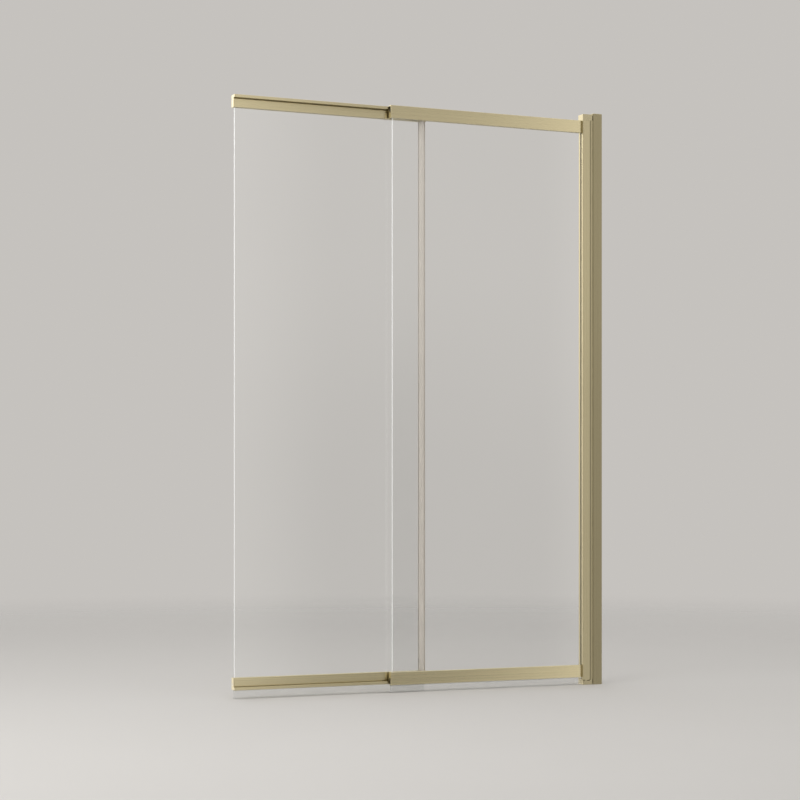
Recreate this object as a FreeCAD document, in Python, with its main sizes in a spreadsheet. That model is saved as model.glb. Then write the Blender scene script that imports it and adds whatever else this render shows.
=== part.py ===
import FreeCAD, Part
import math
import os
import re
import Sketcher

# Sliding bath screen: a fixed pane on a wall channel and a second pane that runs behind it.
# Millimetres. The wall is the plane X = 0 and the screen reaches toward -X.
# +Y points into the bath, Z = 0 is the bath rim.

SIZES = {
    # Whole screen
    "screen_height": 1400,  # rim to the top of the wall channel
    "fixed_width": 559,  # wall to the free end of the fixed rails
    "extended_width": 941,  # wall to the leading end of the sliding panel, drawn right out
    "panel_overlap": 97,  # length of sliding rail that stays in the fixed rails
    "slide_travel": 375,
    "glass_thickness": 6,
    "glass_corner": 1.5,
    "glass_arris": 0.5,
    # Wall channel
    "channel_reach": 24,
    "channel_depth": 29,
    "channel_wall": 1.8,
    "channel_edge": 0.6,
    "channel_cap_plate": 1.5,
    "channel_cap_plug": 12,
    "wall_hole_radius": 2.75,
    "wall_hole_first": 140,  # rim to the lowest wall hole
    "wall_hole_last": 150,  # top of the screen to the highest wall hole
    "wall_hole_pitch": 370,  # between the two holes at each end
    # Stile
    "stile_reach": 51,  # wall to the stile's free face
    "stile_back": 10,  # wall to the stile's back
    "stile_wall": 2.4,
    "stile_web": 2,
    "stile_edge": 1,
    "stile_clearance": 0.3,  # each side, in the wall channel
    "stile_pocket": 14,
    "pocket_wall": 1.8,
    "seam_station": 28.4,  # wall to the near side of the seam
    "seam_width": 4.1,
    "seam_depth": 1,
    "access_hole_radius": 5,
    # Blocks at the stile's ends
    "head_drop": 2.5,  # stile cap below the top of the wall channel
    "foot_height": 12,
    "block_edge": 0.8,
    "block_gap": 0.5,  # block to the edge of the wall channel
    "spigot_length": 9,
    "spigot_clearance": 0.2,
    "weep_height": 2.5,
    "weep_margin": 1,
    "weep_narrow": 4,
    "weep_land": 6,
    "weep_wide": 8,
    # Clamp screws through the channel's bath side
    "clamp_first": 200,  # ends of the screen to the nearest clamp screw
    "clamp_pitch": 500,
    "clamp_station": 17,
    "clamp_radius": 2,
    "clamp_head_radius": 3.5,
    "clamp_head": 2.2,
    "clamp_grip": 2,
    "screw_cap_radius": 5,
    "screw_cap_skin": 1,
    "screw_cap_edge": 0.6,
    "thread_clearance": 0.05,
    "hole_clearance": 0.1,
    "snap_clearance": 0.2,
    # Gaskets
    "gasket_side": 1.4,
    "gasket_base": 2,
    # Rails
    "rim_gap": 18,  # rim to the underside of the fixed bottom rail
    "rail_drop": 18,  # top of the screen down to the fixed top rail
    "rail_height": 30,
    "rail_wall": 1.6,
    "rail_web": 1.5,
    "rail_edge": 0.5,
    "glass_bite": 12,
    "lip_height": 21,
    "tongue_thickness": 1.6,
    "tongue_reach": 11,
    "end_cap": 2,
    "glass_inset": 4,  # fixed pane behind the end caps
    # Sliding rails
    "slide_gap": 5.6,  # back of the fixed rail to the face of the sliding rail
    "slide_wall": 2.8,
    "tongue_clearance": 0.5,
    "groove_depth": 8,
    "head_clearance": 0.5,
    "head_gap": 0.4,
    "head_wall": 1.7,
    "head_solid": 9.5,
    "slide_glass_inset": 2,
    "port_radius": 1.4,
    "cap_screw_radius": 1.3,
    "cap_screw_head_radius": 2.5,
    "cap_screw_head": 1.2,
    "cap_screw_length": 12,
    # Rail connectors, buffers and stops
    "connector_length": 32,
    "connector_fit": 0.2,
    "bolt_radius": 2.5,
    "bolt_head_radius": 4.25,
    "bolt_head": 5,
    "bolt_grip": 21,
    "bolt_room": 1,
    "grub_radius": 2,
    "grub_length": 6,
    "grub_sink": 0.2,
    "buffer_margin": 1.5,
    "stop_gap": 0.5,
    "stop_recess": 0.5,
    # Carriages and wheels
    "lead_offset": 23,  # free end of the fixed rail to the leading wheel
    "wheel_pitch": 56,
    "wheel_radius": 6,
    "wheel_width": 4.1,
    "wheel_edge": 0.8,
    "wheel_gap": 0.3,
    "wheel_side_gap": 0.2,
    "axle_radius": 1.5,
    "axle_clearance": 0.05,
    "pin_fit": 0.02,
    "axle_head_radius": 2.75,
    "axle_head": 0.6,
    "carriage_length": 22,
    "carriage_thickness": 3,
    "carriage_corner": 2,
    "carriage_lift": 1.5,
    "carriage_margin": 0.5,
    "carriage_screw_radius": 1.25,
    "carriage_screw_head_radius": 2.25,
    "carriage_screw_head": 1.6,
    "carriage_screw_grip": 7,
    "carriage_screw_half_pitch": 8,
    # Drive sockets in the screw heads, as shares of the head they are cut in
    "socket_width_share": 0.55,
    "socket_depth_share": 0.5,
    # Seals
    "seal_width": 10,
    "seal_base": 1.5,
    "seal_fin": 1.6,
    "seal_rim_gap": 0.2,
    "overlap_seal_width": 16.6,
    "overlap_seal_wall": 1.2,
    "overlap_seal_web": 2.5,
    "overlap_fin": 1.4,
    "overlap_fin_lean": 6,
    "overlap_fin_gap": 0.3,
    "seal_end_gap": 0.3,
}

PLACES = {
    # Heights
    "channel_top": "screen_height - channel_cap_plate",
    "block_top": "screen_height - head_drop",
    "stile_top": "screen_height - rail_drop",
    "bottom_rail_top": "rim_gap + rail_height",
    "top_rail_bottom": "screen_height - rail_drop - rail_height",
    "glass_low": "bottom_rail_top - glass_bite + gasket_base",
    "glass_high": "top_rail_bottom + glass_bite - gasket_base",
    # Stations across the screen, into the bath
    "half_channel": "channel_depth / 2",
    "channel_inner": "half_channel - channel_wall",
    "half_stile": "channel_inner - stile_clearance",
    "half_glass": "glass_thickness / 2",
    "half_pocket": "half_glass + gasket_side",
    "half_rail": "half_pocket + rail_wall",
    "slide_face": "half_rail + slide_gap",
    "slide_pane": "slide_face + slide_wall + half_pocket",
    "slide_rear": "slide_pane + half_pocket + slide_wall",
    "head_front": "half_pocket - head_gap",
    "carriage_front": "head_front - carriage_thickness",
    "wheel_rear": "carriage_front - wheel_side_gap",
    "wheel_front": "wheel_rear - wheel_width",
    "axle_head_rear": "wheel_front - wheel_side_gap",
    "axle_end": "axle_head_rear - axle_head",
    # Stations along the screen, from the wall
    "stile_face": "-stile_reach",
    "pocket_end": "stile_face + stile_pocket",
    "chamber_front": "pocket_end + stile_web",
    "chamber_rear": "-stile_back - stile_wall",
    "block_rear": "-channel_reach - block_gap",
    "fixed_end": "-fixed_width",
    "fixed_rail_end": "fixed_end + end_cap",
    "fixed_glass_end": "fixed_rail_end + glass_inset",
    "fixed_glass_root": "pocket_end - gasket_base",
    "slide_lead_end": "-extended_width",
    "slide_rail_lead": "slide_lead_end + end_cap",
    "slide_glass_lead": "slide_rail_lead + slide_glass_inset",
    "slide_trail_end": "fixed_end + panel_overlap",
    "slide_rail_trail": "slide_trail_end - end_cap",
    "slide_glass_trail": "slide_trail_end - overlap_seal_web",
    "lead_wheel_station": "fixed_end + lead_offset",
    "trail_wheel_station": "lead_wheel_station + wheel_pitch",
    "connector_end": "stile_face - connector_length",
    "buffer_end": "trail_wheel_station + carriage_length / 2 + slide_travel + stop_gap",
    "stop_end": "lead_wheel_station - carriage_length / 2 - stop_gap",
    "grub_station": "stile_face - connector_length / 2",
    # Distances from a rail's glass side to its outer side
    "web_outer": "glass_bite + rail_web",
    "hollow_outer": "rail_height - rail_web",
    "tongue_inner": "lip_height - tongue_thickness",
    "groove_inner": "tongue_inner - tongue_clearance",
    "groove_outer": "lip_height + tongue_clearance",
    "head_outer": "hollow_outer - head_clearance",
    "port_level": "(glass_bite + groove_inner) / 2",
    "head_level": "(groove_outer + head_outer) / 2",
    "hollow_level": "(web_outer + hollow_outer) / 2",
    "wheel_level": "web_outer + wheel_gap + wheel_radius",
    "carriage_inner": "web_outer + carriage_lift",
    "carriage_outer": "head_outer - carriage_margin",
}

SIDES = ("top", "bottom")
ENDS = ("lead", "trail")
WALL_HOLES = 4
CLAMP_SCREWS = 3
HEX_SIDES = 6

doc = FreeCAD.newDocument("BathScreen")
nodes = {}


def qualify(text, home=""):
    """Write an expression's plain names with the sheet that holds them."""

    def full_name(match):
        word = match.group(0)
        sheet = "Sizes" if word in SIZES else "Places" if word in PLACES else ""
        return f"{sheet}.{word}" if sheet and sheet != home else word

    return re.sub(r"[a-z][a-z_]*", full_name, text)


def fill_sheet(name, rows):
    """Put named values in a sheet, one to a row."""
    sheet = doc.addObject("Spreadsheet::Sheet", name)
    for row, (alias, content) in enumerate(rows.items(), 1):
        sheet.set(f"A{row}", alias)
        sheet.set(f"B{row}", content)
        sheet.setAlias(f"B{row}", alias)
    doc.recompute()
    return sheet


sizes = fill_sheet("Sizes", {alias: str(value) for alias, value in SIZES.items()})
fill_sheet("Places", {alias: "=" + qualify(text, "Places") for alias, text in PLACES.items()})


def number(text):
    """Present value of an expression."""
    return float(sizes.evalExpression(qualify(text)))


def step(text, share, length):
    """Expression moved by a share of a length."""
    return f"{text} + ({share:.0f}) * ({length})"


def unit(start, end):
    """Direction from one point to another, along a sketch axis."""
    span = math.hypot(end[0] - start[0], end[1] - start[1])
    return (end[0] - start[0]) / span, (end[1] - start[1]) / span


def place_point(sketch, geometry, point, spot):
    """Hold a point of a sketch at two expressions."""
    for kind, text in zip(("DistanceX", "DistanceY"), spot):
        rule = Sketcher.Constraint(kind, -1, 1, geometry, point, number(text))
        index = sketch.addConstraint(rule)
        sketch.setExpression(f"Constraints[{index}]", qualify(text))


def hold_radius(sketch, geometry, text):
    """Hold the radius of a circle or an arc at an expression."""
    index = sketch.addConstraint(Sketcher.Constraint("Radius", geometry, number(text)))
    sketch.setExpression(f"Constraints[{index}]", qualify(text))


def vector(spot):
    """Sketch point of two expressions."""
    return FreeCAD.Vector(number(spot[0]), number(spot[1]), 0)


def draw_circle(sketch, x, y, radius):
    """Circle at two expressions."""
    shape = Part.Circle(vector((x, y)), FreeCAD.Vector(0, 0, 1), number(radius))
    geometry = sketch.addGeometry(shape, False)
    place_point(sketch, geometry, 3, (x, y))
    hold_radius(sketch, geometry, radius)


def draw_outline(sketch, corners):
    """Closed outline through corners, each two expressions and, where it is rounded, a radius."""
    spots = [(number(corner[0]), number(corner[1])) for corner in corners]
    arrive = []
    leave = []
    for index, corner in enumerate(corners):
        ends = []
        for neighbour in (spots[index - 1], spots[(index + 1) % len(spots)]):
            if len(corner) == 3:
                way = unit(spots[index], neighbour)
                ends.append((step(corner[0], way[0], corner[2]), step(corner[1], way[1], corner[2])))
            else:
                ends.append(corner)
        arrive.append(ends[0])
        leave.append(ends[1])
    lines = []
    for index in range(len(corners)):
        following = (index + 1) % len(corners)
        edge = Part.LineSegment(vector(leave[index]), vector(arrive[following]))
        lines.append(sketch.addGeometry(edge, False))
    for index, corner in enumerate(corners):
        place_point(sketch, lines[index], 1, leave[index])
        if len(corner) == 3:
            place_point(sketch, lines[index - 1], 2, arrive[index])
            draw_corner(sketch, lines[index - 1], lines[index], arrive[index], leave[index], corner)
        else:
            sketch.addConstraint(Sketcher.Constraint("Coincident", lines[index - 1], 2, lines[index], 1))


def draw_corner(sketch, incoming, outgoing, arrive, leave, corner):
    """Quarter round between two edges of an outline."""
    start = vector(arrive)
    end = vector(leave)
    centre = start + end - vector(corner)
    radius = number(corner[2])
    turn = (start - centre).cross(end - centre).z
    first, last = (start, end) if turn > 0 else (end, start)
    angles = [math.atan2(point.y - centre.y, point.x - centre.x) for point in (first, last)]
    circle = Part.Circle(centre, FreeCAD.Vector(0, 0, 1), radius)
    arc = sketch.addGeometry(Part.ArcOfCircle(circle, angles[0], angles[1]), False)
    start_point, end_point = (1, 2) if turn > 0 else (2, 1)
    sketch.addConstraint(Sketcher.Constraint("Coincident", incoming, 2, arc, start_point))
    sketch.addConstraint(Sketcher.Constraint("Coincident", arc, end_point, outgoing, 1))
    hold_radius(sketch, arc, corner[2])


def rectangle(left, low, right, high, radius=None):
    """Corners of a rectangle, rounded where a radius is given."""
    corners = [(left, low), (right, low), (right, high), (left, high)]
    return [corner + (radius,) for corner in corners] if radius else corners


def hexagon(x, y, radius):
    """Corners of a hexagon about a centre."""
    turns = [2 * math.pi * side / HEX_SIDES for side in range(HEX_SIDES)]
    return [
        (f"{x} + ({radius}) * {math.cos(turn):.6f}", f"{y} + ({radius}) * {math.sin(turn):.6f}")
        for turn in turns
    ]


def make_body(label):
    """New sub-part."""
    body = doc.addObject("PartDesign::Body", label)
    body.Label = label
    nodes[label] = body
    return body


def draw(body, plane, at, loops):
    """Sketch on one of a body's own planes; a loop is an outline or a circle's (x, y, radius)."""
    sketch = body.newObject("Sketcher::SketchObject", f"{body.Name}_sketch")
    support = next(feature for feature in body.Origin.OriginFeatures if feature.Role == plane)
    sketch.AttachmentSupport = [(support, "")]
    sketch.MapMode = "FlatFace"
    sketch.setExpression("AttachmentOffset.Base.z", qualify(at))
    for loop in loops:
        if isinstance(loop, tuple):
            draw_circle(sketch, *loop)
        else:
            draw_outline(sketch, loop)
    return sketch


def add(body, plane, loops, low, high):
    """Fill loops between two stations along the axis that the plane faces."""
    at = f"-({high})" if plane == "XZ_Plane" else low
    feature = body.newObject("PartDesign::Pad", f"{body.Name}_pad")
    feature.Profile = draw(body, plane, at, loops)
    feature.setExpression("Length", qualify(f"({high}) - ({low})"))
    doc.recompute()
    return body


def cut(body, plane, loops, low, high):
    """Cut loops between two stations along the axis that the plane faces."""
    volume = body.Shape.Volume
    at = f"-({low})" if plane == "XZ_Plane" else high
    feature = body.newObject("PartDesign::Pocket", f"{body.Name}_cut")
    feature.Profile = draw(body, plane, at, loops)
    feature.setExpression("Length", qualify(f"({high}) - ({low})"))
    doc.recompute()
    if body.Shape.Volume >= volume:
        raise RuntimeError(f"{body.Label}: a cut takes nothing away")
    return body


def finish_edges(body, kind, setting, size, wanted):
    """Fillet or chamfer the edges that a test picks."""
    base = body.Tip
    names = [f"Edge{count}" for count, edge in enumerate(base.Shape.Edges, 1) if wanted(edge)]
    feature = body.newObject(f"PartDesign::{kind}", f"{body.Name}_{kind.lower()}")
    feature.Base = (base, names)
    feature.setExpression(setting, qualify(size))
    doc.recompute()


def on_planes(axis, *stations):
    """Test for edges that lie wholly in planes across an axis."""
    levels = [number(station) for station in stations]

    def wanted(edge):
        box = edge.BoundBox
        low, high = getattr(box, f"{axis}Min"), getattr(box, f"{axis}Max")
        return any(max(abs(low - level), abs(high - level)) < 1e-4 for level in levels)

    return wanted


def level(side, distance):
    """Height of a point in the top or bottom rail, from its distance to the rail's glass side."""
    if side == "top":
        return f"top_rail_bottom + ({distance})"
    return f"bottom_rail_top - ({distance})"


def across(side, corners):
    """Section of a rail, given for its glass side at zero, set in the top or bottom rail."""
    return [(corner[0], level(side, corner[1])) + tuple(corner[2:]) for corner in corners]


def span(side, inner, outer):
    """Lowest and highest level of a stretch across a rail."""
    levels = (level(side, inner), level(side, outer))
    return levels if side == "top" else levels[::-1]


def add_screws(body, plane, centres, shank, head, socket):
    """Like screws in one sub-part: shank and head are (radius, low, high), socket is (low, high)."""
    for radius, low, high in (shank, head):
        add(body, plane, [(x, y, radius) for x, y in centres], low, high)
    socket_radius = f"({head[0]}) * socket_width_share"
    cut(body, plane, [hexagon(x, y, socket_radius) for x, y in centres], *socket)


def wall_hole_heights():
    """Wall holes, half of them set from the rim and half from the top."""
    steps = range(WALL_HOLES // 2)
    low = [f"wall_hole_first + wall_hole_pitch * {count}" for count in steps]
    high = [f"screen_height - wall_hole_last - wall_hole_pitch * {count}" for count in steps]
    return low + high


def clamp_centres():
    """Clamp screws in the channel's bath side, set from the rim, and the highest from the top."""
    heights = [f"clamp_first + clamp_pitch * {count}" for count in range(CLAMP_SCREWS - 1)]
    heights.append("screen_height - clamp_first")
    return [("-clamp_station", height) for height in heights]


def bolt_centres():
    """Bolts that hold the rails to the stile."""
    return [("0", level(side, "hollow_level")) for side in SIDES]


def wheel_centres():
    """Wheel axles, by rail and by end of the overlap."""
    return {
        (side, end): (f"{end}_wheel_station", level(side, "wheel_level")) for side in SIDES for end in ENDS
    }


def carriage_screw_centres(side, end):
    """The two screws that hold a carriage to the head of the sliding rail."""
    return [
        (f"{end}_wheel_station + ({way}) * carriage_screw_half_pitch", level(side, "head_level"))
        for way in (-1, 1)
    ]


# Wall channel and stile


def make_wall_channel():
    channel = make_body("wall_channel")
    section = [
        ("0", "-half_channel"),
        ("0", "half_channel"),
        ("-channel_reach", "half_channel", "channel_edge"),
        ("-channel_reach", "channel_inner"),
        ("-channel_wall", "channel_inner"),
        ("-channel_wall", "-channel_inner"),
        ("-channel_reach", "-channel_inner"),
        ("-channel_reach", "-half_channel", "channel_edge"),
    ]
    add(channel, "XY_Plane", [section], "0", "channel_top")
    wall_holes = [("0", height, "wall_hole_radius") for height in wall_hole_heights()]
    cut(channel, "YZ_Plane", wall_holes, "-channel_wall", "0")
    clamp_holes = [(x, z, "clamp_radius + hole_clearance") for x, z in clamp_centres()]
    cut(channel, "XZ_Plane", clamp_holes, "channel_inner", "half_channel")

    cap = make_body("wall_channel_cap")
    plate = rectangle("-channel_reach", "-half_channel", "0", "half_channel", "channel_edge")
    add(cap, "XY_Plane", [plate], "channel_top", "screen_height")
    plug_side = "channel_inner - spigot_clearance"
    plug = rectangle(
        "-channel_reach + channel_wall", f"-({plug_side})", "-channel_wall - spigot_clearance", plug_side
    )
    add(cap, "XY_Plane", [plug], "channel_top - channel_cap_plug", "channel_top")


def make_stile():
    stile = make_body("stile")
    seam_far = "-seam_station - seam_width"
    seam_floor = "half_stile - seam_depth"
    front = [
        ("stile_face", "-half_stile", "stile_edge"),
        (seam_far, "-half_stile"),
        (seam_far, f"-({seam_floor})"),
        ("-seam_station", f"-({seam_floor})"),
        ("-seam_station", "-half_stile"),
        ("-stile_back", "-half_stile"),
    ]
    rear = [
        ("-stile_back", "half_stile"),
        ("-seam_station", "half_stile"),
        ("-seam_station", seam_floor),
        (seam_far, seam_floor),
        (seam_far, "half_stile"),
        ("stile_face", "half_stile", "stile_edge"),
    ]
    pocket = [
        ("stile_face", "half_pocket"),
        ("pocket_end", "half_pocket"),
        ("pocket_end", "-half_pocket"),
        ("stile_face", "-half_pocket"),
    ]
    inner_side = "half_stile - stile_wall"
    chamber = rectangle("chamber_front", f"-({inner_side})", "chamber_rear", inner_side)
    cell_left = "stile_face + stile_wall"
    cell_low = "half_pocket + pocket_wall"
    front_cell = rectangle(cell_left, f"-({inner_side})", "pocket_end", f"-({cell_low})")
    rear_cell = rectangle(cell_left, cell_low, "pocket_end", inner_side)
    loops = [front + rear + pocket, chamber, front_cell, rear_cell]
    add(stile, "XY_Plane", loops, "foot_height", "stile_top")
    bolt_holes = [(y, z, "bolt_radius + hole_clearance") for y, z in bolt_centres()]
    cut(stile, "YZ_Plane", bolt_holes, "pocket_end", "chamber_front")
    access_holes = [(y, z, "access_hole_radius") for y, z in bolt_centres()]
    cut(stile, "YZ_Plane", access_holes, "chamber_rear", "-stile_back")
    threads = [(x, z, "clamp_radius + thread_clearance") for x, z in clamp_centres()]
    cut(stile, "XZ_Plane", threads, inner_side, "half_stile")


def spigot():
    """Peg of an end block in the stile's chamber, clear of the bolt heads."""
    side = "half_stile - stile_wall - spigot_clearance"
    return rectangle("chamber_front + bolt_head + bolt_room", f"-({side})", "block_rear", side)


def make_stile_blocks():
    block = rectangle("stile_face", "-half_stile", "block_rear", "half_stile", "block_edge")
    cap = make_body("stile_cap")
    add(cap, "XY_Plane", [block], "stile_top", "block_top")
    finish_edges(cap, "Fillet", "Radius", "block_edge", on_planes("Z", "block_top"))
    add(cap, "XY_Plane", [spigot()], "stile_top - spigot_length", "stile_top")

    foot = make_body("stile_foot")
    add(foot, "XY_Plane", [block], "0", "foot_height")
    add(foot, "XY_Plane", [spigot()], "foot_height", "foot_height + spigot_length")
    narrow = "stile_face + weep_margin"
    wide = f"{narrow} + weep_narrow + weep_land"
    weeps = [
        rectangle(narrow, "foot_height - weep_height", f"{narrow} + weep_narrow", "foot_height"),
        rectangle(wide, "foot_height - weep_height", f"{wide} + weep_wide", "foot_height"),
    ]
    cut(foot, "XZ_Plane", weeps, "-half_stile", "half_stile")


def make_clamp_screws():
    head_end = "half_channel + clamp_head"
    add_screws(
        make_body("adjustment_screws"),
        "XZ_Plane",
        clamp_centres(),
        ("clamp_radius", "half_stile - stile_wall - clamp_grip", "half_channel"),
        ("clamp_head_radius", "half_channel", head_end),
        (f"{head_end} - clamp_head * socket_depth_share", head_end),
    )
    caps = make_body("screw_caps")
    cavity_end = f"{head_end} + snap_clearance"
    cap_end = f"{cavity_end} + screw_cap_skin"
    outer = [(x, z, "screw_cap_radius") for x, z in clamp_centres()]
    add(caps, "XZ_Plane", outer, "half_channel", cap_end)
    finish_edges(caps, "Fillet", "Radius", "screw_cap_edge", on_planes("Y", cap_end))
    cavity = [(x, z, "clamp_head_radius + snap_clearance") for x, z in clamp_centres()]
    cut(caps, "XZ_Plane", cavity, "half_channel", cavity_end)


# Fixed panel


def make_pane(label, left, right, middle):
    """Sheet of glass with its corners and arrises eased."""
    pane = make_body(label)
    front = f"{middle} - half_glass"
    rear = f"{middle} + half_glass"
    sheet = rectangle(left, "glass_low", right, "glass_high", "glass_corner")
    add(pane, "XZ_Plane", [sheet], front, rear)
    finish_edges(pane, "Chamfer", "Size", "glass_arris", on_planes("Y", front, rear))


def make_rail_gasket(label, side, middle, left, right):
    """U-shaped strip between a pane's edge and its rail."""
    legs = [
        (f"{middle} - half_pocket", "0"),
        (f"{middle} - half_glass", "0"),
        (f"{middle} - half_glass", "glass_bite - gasket_base"),
        (f"{middle} + half_glass", "glass_bite - gasket_base"),
        (f"{middle} + half_glass", "0"),
        (f"{middle} + half_pocket", "0"),
        (f"{middle} + half_pocket", "glass_bite"),
        (f"{middle} - half_pocket", "glass_bite"),
    ]
    add(make_body(label), "YZ_Plane", [across(side, legs)], left, right)


def make_stile_gasket():
    section = [
        ("stile_face", "-half_pocket"),
        ("stile_face", "-half_glass"),
        ("fixed_glass_root", "-half_glass"),
        ("fixed_glass_root", "half_glass"),
        ("stile_face", "half_glass"),
        ("stile_face", "half_pocket"),
        ("pocket_end", "half_pocket"),
        ("pocket_end", "-half_pocket"),
    ]
    add(make_body("stile_gasket"), "XY_Plane", [section], "bottom_rail_top", "top_rail_bottom")


def make_fixed_rail(side):
    """Flat-faced rail: a pocket for the glass, and behind its face a track with a guide tongue."""
    rail = make_body(f"fixed_{side}_rail")
    section = [
        ("-half_rail", "0", "rail_edge"),
        ("-half_rail", "rail_height", "rail_edge"),
        ("half_rail", "rail_height", "rail_edge"),
        ("half_rail", "hollow_outer"),
        ("-half_pocket", "hollow_outer"),
        ("-half_pocket", "web_outer"),
        ("half_pocket", "web_outer"),
        ("half_pocket", "lip_height"),
        ("half_rail + tongue_reach", "lip_height"),
        ("half_rail + tongue_reach", "tongue_inner"),
        ("half_rail", "tongue_inner"),
        ("half_rail", "0"),
        ("half_pocket", "0"),
        ("half_pocket", "glass_bite"),
        ("-half_pocket", "glass_bite"),
        ("-half_pocket", "0"),
    ]
    add(rail, "YZ_Plane", [across(side, section)], "fixed_rail_end", "stile_face")
    thread = ("grub_station", "0", "grub_radius + thread_clearance")
    cut(rail, "XY_Plane", [thread], *span(side, "hollow_outer", "rail_height"))


def make_fixed_end_cap(side):
    """Push-in cap that leaves the track open for the sliding rail."""
    cap = make_body(f"fixed_{side}_end_cap")
    plate = [
        ("-half_rail", "0", "rail_edge"),
        ("-half_rail", "rail_height", "rail_edge"),
        ("half_rail", "rail_height", "rail_edge"),
        ("half_rail", "hollow_outer"),
        ("-half_pocket", "hollow_outer"),
        ("-half_pocket", "web_outer"),
        ("half_pocket", "web_outer"),
        ("half_pocket", "lip_height"),
        ("half_rail", "lip_height"),
        ("half_rail", "0", "rail_edge"),
    ]
    add(cap, "YZ_Plane", [across(side, plate)], "fixed_end", "fixed_rail_end")
    plug_side = "half_pocket - connector_fit"
    plug_low, plug_high = span(side, "connector_fit", "glass_bite - connector_fit")
    plug = rectangle(f"-({plug_side})", plug_low, plug_side, plug_high)
    add(cap, "YZ_Plane", [plug], "fixed_rail_end", "fixed_glass_end - connector_fit")


def make_rail_connector(side):
    """Block in the track's wall end, with a nose in the stile's pocket."""
    connector = make_body(f"{side}_rail_connector")
    flank = "half_pocket - connector_fit"
    low, high = span(side, "web_outer + connector_fit", "hollow_outer - connector_fit")
    add(connector, "YZ_Plane", [rectangle(f"-({flank})", low, flank, high)], "connector_end", "pocket_end")
    bolt_hole = ("0", level(side, "hollow_level"), "bolt_radius + thread_clearance")
    cut(connector, "YZ_Plane", [bolt_hole], "chamber_front - bolt_grip - bolt_room", "pocket_end")
    grub_hole = ("grub_station", "0", "grub_radius + thread_clearance")
    grub_inner = "rail_height - grub_sink - grub_length"
    cut(connector, "XY_Plane", [grub_hole], *span(side, grub_inner, "hollow_outer - connector_fit"))


def make_connector_fasteners():
    head_end = "chamber_front + bolt_head"
    add_screws(
        make_body("connector_bolts"),
        "YZ_Plane",
        bolt_centres(),
        ("bolt_radius", "chamber_front - bolt_grip", "chamber_front"),
        ("bolt_head_radius", "chamber_front", head_end),
        (f"{head_end} - bolt_head * socket_depth_share", head_end),
    )
    grubs = make_body("rail_grub_screws")
    outer = "rail_height - grub_sink"
    socket = hexagon("grub_station", "0", "grub_radius * socket_width_share")
    for side in SIDES:
        inner = f"{outer} - grub_length"
        add(grubs, "XY_Plane", [("grub_station", "0", "grub_radius")], *span(side, inner, outer))
        cut(grubs, "XY_Plane", [socket], *span(side, f"{outer} - grub_length * socket_depth_share", outer))


def make_travel_ends():
    """Rubber buffers at the wall end of the tracks and plastic stops at their free end."""
    front = "-half_pocket + connector_fit"
    rear = "head_front - head_gap"
    buffers = make_body("stop_buffers")
    stops = make_body("slide_stops")
    pads = []
    blocks = []
    for side in SIDES:
        low, high = span(side, "web_outer + buffer_margin", "hollow_outer - buffer_margin")
        pads.append(rectangle(front, low, rear, high))
        low, high = span(side, "web_outer + connector_fit", "hollow_outer - connector_fit")
        blocks.append(rectangle(front, low, rear, high))
    add(buffers, "YZ_Plane", pads, "buffer_end", "connector_end")
    add(stops, "YZ_Plane", blocks, "fixed_rail_end + stop_recess", "stop_end")


def make_bottom_seal(label, middle, top, left, right):
    """Clear strip under a bottom rail, with a fin down to the rim."""
    base_low = f"{top} - seal_base"
    section = [
        (f"{middle} - seal_width / 2", top),
        (f"{middle} - seal_width / 2", base_low),
        (f"{middle} - seal_fin / 2", base_low),
        (f"{middle} - seal_fin / 2", "seal_rim_gap"),
        (f"{middle} + seal_fin / 2", "seal_rim_gap"),
        (f"{middle} + seal_fin / 2", base_low),
        (f"{middle} + seal_width / 2", base_low),
        (f"{middle} + seal_width / 2", top),
    ]
    add(make_body(label), "YZ_Plane", [section], left, right)


# Sliding panel


def make_slide_rail(side):
    """Rail with a pocket for the glass, a groove for the guide tongue and a head for the carriages."""
    rail = make_body(f"slide_{side}_rail")
    section = [
        ("slide_face", "0", "rail_edge"),
        ("slide_face", "groove_inner"),
        ("slide_face + groove_depth", "groove_inner"),
        ("slide_face + groove_depth", "groove_outer"),
        ("head_front", "groove_outer", "rail_edge"),
        ("head_front", "head_outer", "rail_edge"),
        ("slide_rear", "head_outer", "rail_edge"),
        ("slide_rear", "0", "rail_edge"),
        ("slide_pane + half_pocket", "0"),
        ("slide_pane + half_pocket", "glass_bite"),
        ("slide_pane - half_pocket", "glass_bite"),
        ("slide_pane - half_pocket", "0"),
    ]
    cell_low, cell_high = span(side, "groove_outer + head_wall", "head_outer - head_wall")
    cell = rectangle("head_front + head_solid", cell_low, "slide_rear - head_wall", cell_high)
    port = ("slide_pane", level(side, "port_level"), "port_radius")
    add(rail, "YZ_Plane", [across(side, section), cell, port], "slide_rail_lead", "slide_rail_trail")
    threads = [
        (x, z, "carriage_screw_radius + thread_clearance")
        for end in ENDS
        for x, z in carriage_screw_centres(side, end)
    ]
    cut(rail, "XZ_Plane", threads, "head_front", "head_front + carriage_screw_grip + hole_clearance")


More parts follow.
